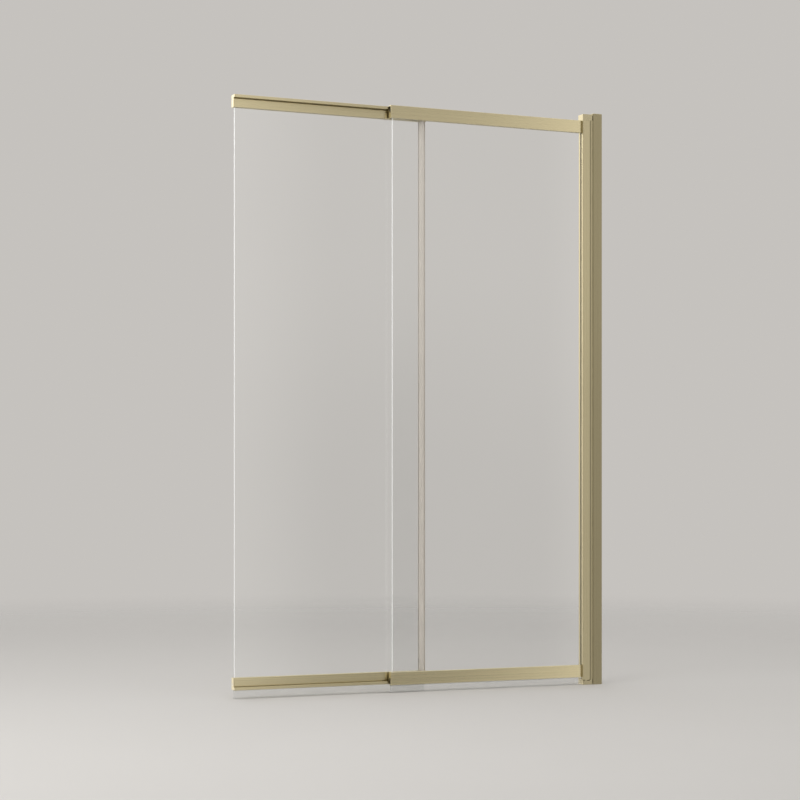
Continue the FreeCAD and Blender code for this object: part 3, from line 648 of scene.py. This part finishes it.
def pane_mesh(node, shape):
    """Sheet of glass with rounded corners and eased arrises; its edges take the second material."""
    low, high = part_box(node)
    mesh = bmesh.new()
    bmesh.ops.create_cube(mesh, size=1, matrix=Matrix.LocRotScale((low + high) / 2, None, high - low))
    corners = [edge for edge in mesh.edges if runs_along(edge, Y)]
    round_edges(mesh, corners, shape.pane_corner, 2 * shape.round_steps)
    rims = [edge for edge in mesh.edges if not runs_along(edge, Y)]
    round_edges(mesh, rims, shape.pane_arris, steps=1)
    bmesh.ops.recalc_face_normals(mesh, faces=mesh.faces)
    for face in mesh.faces:
        face.material_index = 0 if abs(face.normal.y) > ALIKE else 1
    return mesh


def trough(outer, inner, opening, floor, far):
    """U section: two legs from the opening to the far side, with a floor between them."""
    return [
        (outer[0], opening),
        (inner[0], opening),
        (inner[0], floor),
        (inner[1], floor),
        (inner[1], opening),
        (outer[1], opening),
        (outer[1], far),
        (outer[0], far),
    ]


def rail_gasket_mesh(side, gasket, glass, shape):
    """Strip between a pane's edge and its rail."""
    low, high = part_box(gasket)
    pane_low, pane_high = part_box(glass)
    gap = shape.soft_gap
    inner = (pane_low.y - gap, pane_high.y + gap)
    if side == "top":
        section = trough((low.y, high.y), inner, low.z, pane_high.z + gap, high.z)
    else:
        section = trough((low.y, high.y), inner, high.z, pane_low.z - gap, low.z)
    return strip(section, X, low.x, high.x, shape.gasket_round, shape.round_steps)


def stile_gasket_mesh(shape):
    """Strip between the fixed pane's edge and the stile."""
    low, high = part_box("stile_gasket")
    pane_low, pane_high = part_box("fixed_glass")
    gap = shape.soft_gap
    inner = (pane_low.y - gap, pane_high.y + gap)
    section = [(x, y) for y, x in trough((low.y, high.y), inner, low.x, pane_high.x + gap, high.x)]
    return strip(section, Z, low.z, high.z, shape.gasket_round, shape.round_steps)


def rim_seal_mesh(node, shape):
    """Strip under a bottom rail with a fin that thins toward its tip."""
    low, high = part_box(node)
    middle = (low.y + high.y) / 2
    root = high.z - shape.seal_base
    section = [
        (low.y, high.z),
        (low.y, root),
        (middle - shape.seal_fin / 2, root),
        (middle - shape.fin_tip / 2, low.z),
        (middle + shape.fin_tip / 2, low.z),
        (middle + shape.seal_fin / 2, root),
        (high.y, root),
        (high.y, high.z),
    ]
    return strip(section, X, low.x, high.x, shape.seal_round, shape.round_steps)


def overlap_seal_mesh(shape):
    """Clip on the sliding pane's trailing edge, with a fin that curves to the fixed pane."""
    low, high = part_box("overlap_seal")
    pane_low, pane_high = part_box("slide_glass")
    gap = shape.soft_gap
    front = pane_low.y - shape.clip_wall
    root = low.x + shape.fin_inset
    reach = front - low.y
    thickness = [shape.overlap_fin + (shape.fin_tip - shape.overlap_fin) * down for _, down in FIN_CURVE]
    near = [(root + shape.overlap_lean * lean, front - reach * down) for lean, down in FIN_CURVE]
    away = [(x + wall, y) for (x, y), wall in zip(near, thickness)]
    clip_front = [(low.x, front)]
    clip_rear = [
        (high.x - shape.clip_slope, front),
        (high.x, front + shape.clip_slope),
        (high.x, high.y),
        (low.x, high.y),
        (low.x, pane_high.y + gap),
        (pane_high.x + gap, pane_high.y + gap),
        (pane_high.x + gap, pane_low.y - gap),
        (low.x, pane_low.y - gap),
    ]
    section = clip_front + near + away[::-1] + clip_rear
    return strip(section, Z, low.z, high.z, shape.seal_round, shape.round_steps)


def roller_mesh(node, shape):
    """Roller with a hub, a ring sunk in each face and a rounded tread."""
    low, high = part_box(node)
    radius = (high.x - low.x) / 2
    rim = radius - shape.roller_rim
    round_in = shape.roller_round
    half = [
        (shape.roller_bore, 0),
        (shape.roller_hub, 0),
        (shape.roller_hub + shape.roller_recess / 2, shape.roller_recess),
        (rim - shape.roller_recess / 2, shape.roller_recess),
        (rim, 0),
        (radius - round_in, 0),
        (radius - round_in * TREAD_MIDDLE, round_in * TREAD_MIDDLE),
        (radius, round_in),
    ]
    profile = [(r, low.y + depth) for r, depth in half] + [(r, high.y - depth) for r, depth in half[::-1]]
    mesh = bmesh.new()
    turned(mesh, profile, (low + high) / 2, shape.spin_steps)
    close_mesh(mesh)
    return mesh


def screw_covers_mesh(shape):
    """Domed covers over the clamp screws."""
    mesh = bmesh.new()
    for low, high in stacked_boxes("screw_caps"):
        radius = (high.x - low.x) / 2
        centre = (low + high) / 2
        skirt = low.y + shape.cover_skirt
        rise = high.y - skirt
        turns = [math.pi / 2 * step / DOME_STEPS for step in range(DOME_STEPS + 1)]
        shoulder = radius - rise
        dome = [(shoulder + rise * math.cos(turn), skirt + rise * math.sin(turn)) for turn in turns]
        inside = [(shape.cover_lip, high.y - rise / 2), (shape.cover_lip, low.y)]
        profile = [(0, high.y - rise / 2)] + inside + [(radius, low.y)] + dome + [(0, high.y)]
        turned(mesh, profile, centre, shape.spin_steps)
    close_mesh(mesh)
    return mesh


def buffers_mesh(shape):
    """Rounded rubber blocks with a hollow in the face that the carriages meet."""
    mesh = bmesh.new()
    for low, high in stacked_boxes("stop_buffers"):
        block = bmesh.ops.create_cube(
            mesh, size=1, matrix=Matrix.LocRotScale((low + high) / 2, None, high - low)
        )
        edges = list({edge for vert in block["verts"] for edge in vert.link_edges})
        round_edges(mesh, edges, shape.buffer_round, shape.round_steps)
    bmesh.ops.recalc_face_normals(mesh, faces=mesh.faces)
    faces = [face for face in mesh.faces if face.normal.x < -ALIKE]
    struck = sorted(faces, key=lambda face: -face.calc_area())[: len(SIDES)]
    bmesh.ops.inset_individual(
        mesh, faces=struck, thickness=shape.buffer_round, depth=-shape.buffer_dimple, use_even_offset=True
    )
    return mesh


# Stage


def mirrored_light(tree):
    """One for light that was mirrored on its way, and zero for the rest."""
    path = tree.nodes.new("ShaderNodeLightPath")
    counted = tree.nodes.new("ShaderNodeMath")
    counted.operation = "GREATER_THAN"
    tree.links.new(path.outputs["Glossy Depth"], counted.inputs[0])
    return counted.outputs["Value"]


def mixed_shader(tree, share, first, second):
    """Mix of two shader nodes, with a share for the second."""
    mix = tree.nodes.new("ShaderNodeMixShader")
    tree.links.new(share, mix.inputs["Fac"])
    tree.links.new(first.outputs[0], mix.inputs[1])
    tree.links.new(second.outputs[0], mix.inputs[2])
    return mix


def lay_floor(stage):
    """Plain pale floor that fades into the backdrop."""
    mesh = bmesh.new()
    bmesh.ops.create_circle(mesh, cap_ends=True, radius=stage.floor_radius, segments=FLOOR_SIDES)
    centre = (CAD_BOX[0] + CAD_BOX[1]) / 2
    bmesh.ops.translate(mesh, verts=mesh.verts, vec=(centre.x, centre.y, CAD_BOX[0].z - stage.floor_drop))
    data = bpy.data.meshes.new("floor")
    mesh.to_mesh(data)
    mesh.free()
    data.materials.append(floor_paint(stage, centre))
    floor = bpy.data.objects.new("floor", data)
    bpy.context.scene.collection.objects.link(floor)


def floor_paint(stage, centre):
    """Matt floor, clear at its edge and to the metal, which mirrors the backdrop alone."""
    made = surface(
        "floor_paint",
        stage.floor,
        pitch=(3, 3, 3),
        shades=(0.99, 1.01),
        roughness=(0.7, 0.8),
        depth=1e-4,
    )
    tree = made.node_tree
    place = tree.nodes.new("ShaderNodeTexCoord")
    offset = tree.nodes.new("ShaderNodeVectorMath")
    offset.operation = "DISTANCE"
    offset.inputs[1].default_value = (centre.x, centre.y, 0)
    fade = tree.nodes.new("ShaderNodeMapRange")
    fade.interpolation_type = "SMOOTHSTEP"
    fade.inputs["From Min"].default_value = stage.fade_start
    fade.inputs["From Max"].default_value = stage.fade_end
    tree.links.new(place.outputs["Object"], offset.inputs[0])
    tree.links.new(offset.outputs["Value"], fade.inputs["Value"])
    hidden = pick(tree, "MAXIMUM", [fade.outputs["Result"], mirrored_light(tree)])
    clear = tree.nodes.new("ShaderNodeBsdfTransparent")
    mix = mixed_shader(tree, hidden, tree.nodes["Principled BSDF"], clear)
    tree.links.new(mix.outputs["Shader"], tree.nodes["Material Output"].inputs["Surface"])
    return made


def hang_lamp(name, place, size, aim, power):
    """Soft broad lamp that is never seen itself, not even in the metal."""
    data = bpy.data.lights.new(name, "AREA")
    data.shape = "RECTANGLE"
    data.size, data.size_y = size
    data.energy = power
    lamp = bpy.data.objects.new(name, data)
    lamp.location = place
    lamp.rotation_euler = (Vector(aim) - Vector(place)).to_track_quat("-Z", "Y").to_euler()
    lamp.visible_camera = False
    lamp.visible_transmission = False
    lamp.visible_glossy = False
    bpy.context.scene.collection.objects.link(lamp)


def level_way(tree, way):
    """Direction in the backdrop with its rise left out."""
    flat = tree.nodes.new("ShaderNodeVectorMath")
    flat.operation = "MULTIPLY"
    flat.inputs[1].default_value = (1, 1, 0)
    unit = tree.nodes.new("ShaderNodeVectorMath")
    unit.operation = "NORMALIZE"
    tree.links.new(way, flat.inputs[0])
    tree.links.new(flat.outputs["Vector"], unit.inputs[0])
    return unit.outputs["Vector"]


def zone_share(tree, way, zones):
    """Share of some zones in a direction of the backdrop, highest at the middle of each."""
    shares = []
    for middle, start, full, share in zones:
        nearness = tree.nodes.new("ShaderNodeVectorMath")
        nearness.operation = "DOT_PRODUCT"
        nearness.inputs[1].default_value = Vector(middle).normalized()
        zone = tree.nodes.new("ShaderNodeMapRange")
        zone.interpolation_type = "SMOOTHSTEP"
        zone.inputs["From Min"].default_value = math.cos(start)
        zone.inputs["From Max"].default_value = math.cos(full)
        zone.inputs["To Max"].default_value = share
        tree.links.new(way, nearness.inputs[0])
        tree.links.new(nearness.outputs["Value"], zone.inputs["Value"])
        shares.append(zone.outputs["Result"])
    return pick(tree, "MAXIMUM", shares)


def backdrop_colour(tree, stage, share):
    """Colour of the plain backdrop, dimmed by a share."""
    mix = tree.nodes.new("ShaderNodeMix")
    mix.data_type = "RGBA"
    mix.inputs[MIX_A].default_value = tuple(stage.backdrop) + (1,)
    mix.inputs[MIX_B].default_value = tuple(stage.dim_backdrop) + (1,)
    tree.links.new(share, mix.inputs[MIX_FACTOR])
    return mix.outputs[MIX_RESULT]


def paint_world(scene, stage):
    """Even light from all round, and a pale backdrop that is plain but for what the metal mirrors."""
    world = bpy.data.worlds.new("studio")
    world.use_nodes = True
    scene.world = world
    tree = world.node_tree
    path = tree.nodes.new("ShaderNodeLightPath")
    mirrored = mirrored_light(tree)
    way = tree.nodes.new("ShaderNodeTexCoord").outputs["Generated"]
    bands = zone_share(tree, level_way(tree, way), SHINE_BANDS)
    bright = pick(tree, "MAXIMUM", [zone_share(tree, way, GLOW_ZONES), bands])
    shine = pick(tree, "MINIMUM", [bright, mirrored])
    dim = pick(tree, "MINIMUM", [zone_share(tree, way, DIM_ZONES), mirrored])
    light = tree.nodes["Background"]
    light.inputs["Color"].default_value = (1, 1, 1, 1)
    light.inputs["Strength"].default_value = stage.ambient
    backdrop = tree.nodes.new("ShaderNodeBackground")
    tree.links.new(backdrop_colour(tree, stage, dim), backdrop.inputs["Color"])
    glow = tree.nodes.new("ShaderNodeBackground")
    glow.inputs["Color"].default_value = tuple(stage.glow) + (1,)
    glow.inputs["Strength"].default_value = stage.glow_level
    view = mixed_shader(tree, shine, backdrop, glow)
    rays = [path.outputs[f"Is {ray} Ray"] for ray in ("Camera", "Glossy", "Transmission")]
    mix = mixed_shader(tree, pick(tree, "MAXIMUM", rays), light, view)
    tree.links.new(mix.outputs["Shader"], tree.nodes["World Output"].inputs["Surface"])


def set_camera(scene, stage):
    """Level camera to the left of the screen's front."""
    data = bpy.data.cameras.new("camera")
    data.lens = stage.camera_lens
    data.shift_y = stage.camera_rise
    camera = bpy.data.objects.new("camera", data)
    camera.location = stage.camera_place
    camera.rotation_euler = (math.pi / 2, 0, stage.camera_turn)
    scene.collection.objects.link(camera)
    scene.camera = camera


# Operators


class BATHSCREEN_OT_stage(bpy.types.Operator):
    """Set up the floor, the light and the camera"""

    bl_idname = "bath_screen.stage"
    bl_label = "Stage"

    def execute(self, context):
        stage = context.scene.screen_stage
        middle = (CAD_BOX[0] + CAD_BOX[1]) / 2
        lay_floor(stage)
        hang_lamp("left_lamp", *LEFT_LAMP, middle, stage.left_lamp)
        hang_lamp("top_lamp", *TOP_LAMP, middle, stage.top_lamp)
        hang_lamp("front_lamp", *FRONT_LAMP, middle, stage.front_lamp)
        paint_world(context.scene, stage)
        set_camera(context.scene, stage)
        context.scene.view_settings.view_transform = "Standard"
        return {"FINISHED"}


class BATHSCREEN_OT_extrusions(bpy.types.Operator):
    """Brush the wall channel, the stile and the rails"""

    bl_idname = "bath_screen.extrusions"
    bl_label = "Extrusions"

    def execute(self, context):
        finish = context.scene.screen_finish
        shape = context.scene.screen_shape
        rails = [f"{panel}_{side}_rail" for panel in PANELS for side in SIDES]
        dress(rails, brushed_brass("rail_brass", finish.brass, X))
        # Band of painted shade over the stile's seam
        seam = (X, -shape.seam_station - shape.seam_width, -shape.seam_station)
        dress(["stile"], brushed_brass("stile_brass_and_seam_shade", finish.stile_brass_and_seam_shade, Z, seam))
        # The channel's darker brass is painted shade near the wall
        dress(["wall_channel"], brushed_brass("channel_brass_painted_shade", finish.channel_brass_painted_shade, Z))
        return {"FINISHED"}


class BATHSCREEN_OT_trim(bpy.types.Operator):
    """Coat the caps and blocks at the ends of the extrusions"""

    bl_idname = "bath_screen.trim"
    bl_label = "Caps and blocks"

    def execute(self, context):
        shape = context.scene.screen_shape
        finish = context.scene.screen_finish
        cap_coat = brass_coat("cap_coat", finish.coat)
        block_coat = brass_coat("block_coat", finish.block_coat)
        blocks = ["wall_channel_cap", "stile_cap", "stile_foot"]
        fixed_caps = [f"fixed_{side}_end_cap" for side in SIDES]
        sliding_caps = [f"{end}ing_{side}_cap" for end in ENDS for side in SIDES]
        for nodes, coat, body in (
            (blocks, block_coat, WALL_SIDE),
            (fixed_caps, cap_coat, WALL_SIDE),
            (sliding_caps, cap_coat, SLIDING_PANEL),
        ):
            for node in nodes:
                mesh = eased_copy(node, shape.cap_round, shape.round_steps)
                stand(f"{node}_eased", mesh, [coat], body, [node])
        return {"FINISHED"}


class BATHSCREEN_OT_screw_covers(bpy.types.Operator):
    """Model the domed covers of the clamp screws"""

    bl_idname = "bath_screen.screw_covers"
    bl_label = "Screw covers"

    def execute(self, context):
        scene = context.scene
        mesh = screw_covers_mesh(scene.screen_shape)
        coat = [brass_coat("cover_coat", scene.screen_finish.coat)]
        stand("screw_covers", mesh, coat, WALL_SIDE, ["screw_caps"])
        return {"FINISHED"}


class BATHSCREEN_OT_panes(bpy.types.Operator):
    """Model the two panes of glass"""

    bl_idname = "bath_screen.panes"
    bl_label = "Panes"

    def execute(self, context):
        scene = context.scene
        materials = [pane_glass(scene.screen_finish), polished_edge(scene.screen_finish)]
        for panel, body in PANELS.items():
            node = f"{panel}_glass"
            mesh = pane_mesh(node, scene.screen_shape)
            pane = stand(f"{panel}_pane", mesh, materials, body, [node], smooth=False)
            # Clear glass casts no dark shadow
            pane.visible_shadow = False
        return {"FINISHED"}


class BATHSCREEN_OT_gaskets(bpy.types.Operator):
    """Model the strips between the glass and the metal"""

    bl_idname = "bath_screen.gaskets"
    bl_label = "Gaskets"

    def execute(self, context):
        shape = context.scene.screen_shape
        finish = context.scene.screen_finish
        # Painted light: a paler copy of the glazing rubber, lifting the shade under the rails
        rail_rubber_painted_light = [glazing_rubber("rail_glazing_rubber_painted_light", finish.rail_gasket_painted_light)]
        for panel, body in PANELS.items():
            for side in SIDES:
                node = f"{panel}_{side}_gasket"
                mesh = rail_gasket_mesh(side, node, f"{panel}_glass", shape)
                stand(f"{panel}_{side}_glazing_strip", mesh, rail_rubber_painted_light, body, [node])
        mesh = stile_gasket_mesh(shape)
        # Painted shade: the stile's strip is dark to stand in for the shadow in its pocket
        stile_rubber_painted_shade = [glazing_rubber("stile_glazing_rubber_painted_shade", finish.stile_gasket)]
        stand("stile_glazing_strip", mesh, stile_rubber_painted_shade, WALL_SIDE, ["stile_gasket"])
        return {"FINISHED"}


class BATHSCREEN_OT_overlap_seal(bpy.types.Operator):
    """Model the clip-on seal between the two panes"""

    bl_idname = "bath_screen.overlap_seal"
    bl_label = "Overlap seal"

    def execute(self, context):
        scene = context.scene
        mesh = overlap_seal_mesh(scene.screen_shape)
        seal = [overlap_strip_pvc(scene.screen_finish)]
        stand("overlap_strip", mesh, seal, SLIDING_PANEL, ["overlap_seal"])
        return {"FINISHED"}


class BATHSCREEN_OT_rim_seals(bpy.types.Operator):
    """Model the clear strips under the bottom rails"""

    bl_idname = "bath_screen.rim_seals"
    bl_label = "Rim seals"

    def execute(self, context):
        scene = context.scene
        seal = [rim_strip_pvc(scene.screen_finish)]
        for panel, body in PANELS.items():
            node = f"{panel}_bottom_seal"
            mesh = rim_seal_mesh(node, scene.screen_shape)
            stand(f"{panel}_rim_strip", mesh, seal, body, [node])
        return {"FINISHED"}


class BATHSCREEN_OT_rollers(bpy.types.Operator):
    """Model the rollers that carry the sliding panel"""

    bl_idname = "bath_screen.rollers"
    bl_label = "Rollers"

    def execute(self, context):
        scene = context.scene
        nylon = [roller_nylon(scene.screen_finish)]
        for side in SIDES:
            for end in ENDS:
                node = f"{side}_{end}_wheel"
                mesh = roller_mesh(node, scene.screen_shape)
                stand(f"{side}_{end}_roller", mesh, nylon, node, [node])
        return {"FINISHED"}


class BATHSCREEN_OT_mouldings(bpy.types.Operator):
    """Ease the black mouldings: the carriages and the stops"""

    bl_idname = "bath_screen.mouldings"
    bl_label = "Carriages and stops"

    def execute(self, context):
        shape = context.scene.screen_shape
        plastic = [moulded_plastic(context.scene.screen_finish)]
        carriages = [f"{side}_{end}_carriage" for side in SIDES for end in ENDS]
        for body, nodes in ((SLIDING_PANEL, carriages), (WALL_SIDE, ["slide_stops"])):
            for node in nodes:
                mesh = eased_copy(node, shape.gear_round, shape.round_steps)
                stand(f"{node}_eased", mesh, plastic, body, [node])
        return {"FINISHED"}


class BATHSCREEN_OT_connectors(bpy.types.Operator):
    """Ease the blocks that join the rails to the stile"""

    bl_idname = "bath_screen.connectors"
    bl_label = "Rail connectors"

    def execute(self, context):
        shape = context.scene.screen_shape
        aluminium = [milled_aluminium(context.scene.screen_finish)]
        for side in SIDES:
            node = f"{side}_rail_connector"
            mesh = eased_copy(node, shape.gear_round, shape.round_steps)
            stand(f"{node}_eased", mesh, aluminium, WALL_SIDE, [node])
        return {"FINISHED"}


class BATHSCREEN_OT_buffers(bpy.types.Operator):
    """Model the rubber buffers that end the travel"""

    bl_idname = "bath_screen.buffers"
    bl_label = "Travel buffers"

    def execute(self, context):
        scene = context.scene
        mesh = buffers_mesh(scene.screen_shape)
        rubber = [buffer_rubber(scene.screen_finish)]
        stand("travel_buffers", mesh, rubber, WALL_SIDE, ["stop_buffers"])
        return {"FINISHED"}


class BATHSCREEN_OT_fixings(bpy.types.Operator):
    """Give the screws, bolts and axles their steel"""

    bl_idname = "bath_screen.fixings"
    bl_label = "Fixings"

    def execute(self, context):
        dress(FIXINGS, fixing_steel(context.scene.screen_finish))
        return {"FINISHED"}


OPERATORS = (
    BATHSCREEN_OT_stage,
    BATHSCREEN_OT_extrusions,
    BATHSCREEN_OT_trim,
    BATHSCREEN_OT_screw_covers,
    BATHSCREEN_OT_panes,
    BATHSCREEN_OT_gaskets,
    BATHSCREEN_OT_overlap_seal,
    BATHSCREEN_OT_rim_seals,
    BATHSCREEN_OT_rollers,
    BATHSCREEN_OT_mouldings,
    BATHSCREEN_OT_connectors,
    BATHSCREEN_OT_buffers,
    BATHSCREEN_OT_fixings,
)
SETTINGS = {"screen_finish": ScreenFinish, "screen_shape": ScreenShape, "screen_stage": ScreenStage}


class BATHSCREEN_PT_sidebar(bpy.types.Panel):
    """Steps and settings of the bath screen"""

    bl_idname = "BATHSCREEN_PT_sidebar"
    bl_label = "Bath Screen"
    bl_space_type = "VIEW_3D"
    bl_region_type = "UI"
    bl_category = "Bath Screen"

    def draw(self, context):
        for operator in OPERATORS:
            self.layout.operator(operator.bl_idname)
        for setting, group in SETTINGS.items():
            column = self.layout.column(heading=group.__doc__)
            for name in group.__annotations__:
                column.prop(getattr(context.scene, setting), name)


def register():
    for group in SETTINGS.values():
        bpy.utils.register_class(group)
    for operator in OPERATORS:
        bpy.utils.register_class(operator)
    bpy.utils.register_class(BATHSCREEN_PT_sidebar)
    for setting, group in SETTINGS.items():
        setattr(bpy.types.Scene, setting, PointerProperty(type=group))


def unregister():
    for setting in SETTINGS:
        delattr(bpy.types.Scene, setting)
    bpy.utils.unregister_class(BATHSCREEN_PT_sidebar)
    for operator in reversed(OPERATORS):
        bpy.utils.unregister_class(operator)
    for group in reversed(SETTINGS.values()):
        bpy.utils.unregister_class(group)


def main():
    register()
    bpy.ops.bath_screen.stage()
    bpy.ops.bath_screen.extrusions()
    bpy.ops.bath_screen.trim()
    bpy.ops.bath_screen.screw_covers()
    bpy.ops.bath_screen.panes()
    bpy.ops.bath_screen.gaskets()
    bpy.ops.bath_screen.overlap_seal()
    bpy.ops.bath_screen.rim_seals()
    bpy.ops.bath_screen.rollers()
    bpy.ops.bath_screen.mouldings()
    bpy.ops.bath_screen.connectors()
    bpy.ops.bath_screen.buffers()
    bpy.ops.bath_screen.fixings()


if __name__ == "__main__":
    main()
